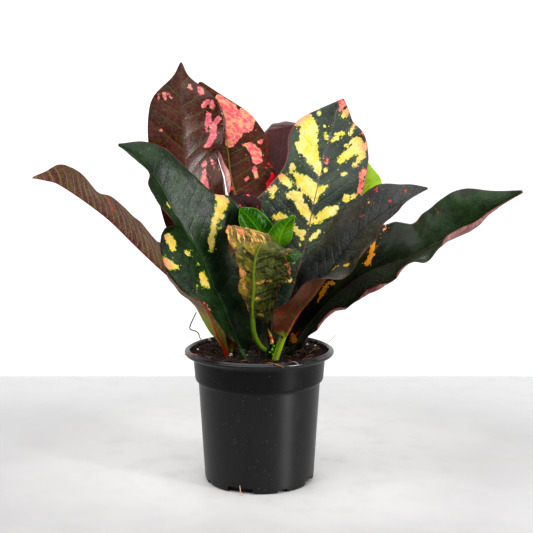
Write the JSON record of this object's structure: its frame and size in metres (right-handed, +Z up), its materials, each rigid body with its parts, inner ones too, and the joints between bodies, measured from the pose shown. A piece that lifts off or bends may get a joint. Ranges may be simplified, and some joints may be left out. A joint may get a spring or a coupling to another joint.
{
  "type": "potted croton",
  "caption": "Croton with broad variegated leaves in green, maroon, pink and yellow, growing from soil in a black round nursery pot.",
  "frame": {"origin": "centre of the pot's underside, where the pot stands", "axes": "+Z up along the pot's axis, -Y towards the viewer of the picture, +X to the viewer's right"},
  "size_m": [0.3885, 0.1992, 0.3351],
  "materials": {
    "pot": "satin black",
    "soil": "rough, damp",
    "stem_left": "matt",
    "stem_centre": "matt",
    "stem_right": "matt",
    "leaf_far_left": "natural leaf, satin",
    "leaf_front_left": "natural leaf, satin",
    "leaf_tall_maroon": "natural leaf, satin",
    "leaf_pink": "natural leaf, satin",
    "leaf_back_maroon": "natural leaf, satin",
    "leaf_yellow": "natural leaf, satin",
    "leaf_front_right": "natural leaf, satin",
    "leaf_far_right": "natural leaf, satin",
    "leaf_crumpled": "natural leaf, satin",
    "leaf_lime_behind": "natural leaf, satin",
    "leaf_small_maroon": "natural leaf, satin",
    "leaf_small_low": "natural leaf, satin",
    "bud_leaf_left": "young leaf, glossy",
    "bud_leaf_right": "young leaf, glossy",
    "bud_leaf_small": "young leaf, glossy"
  },
  "bodies": {
    "root": {"pot": "pot", "soil": "soil", "stem_left": "stem_left", "stem_centre": "stem_centre", "stem_right": "stem_right", "leaf_far_left": "leaf_far_left", "leaf_front_left": "leaf_front_left", "leaf_tall_maroon": "leaf_tall_maroon", "leaf_pink": "leaf_pink", "leaf_back_maroon": "leaf_back_maroon", "leaf_yellow": "leaf_yellow", "leaf_front_right": "leaf_front_right", "leaf_far_right": "leaf_far_right", "leaf_crumpled": "leaf_crumpled", "leaf_lime_behind": "leaf_lime_behind", "leaf_small_maroon": "leaf_small_maroon", "leaf_small_low": "leaf_small_low", "bud_leaf_left": "bud_leaf_left", "bud_leaf_right": "bud_leaf_right", "bud_leaf_small": "bud_leaf_small"}
  },
  "joints": []
}
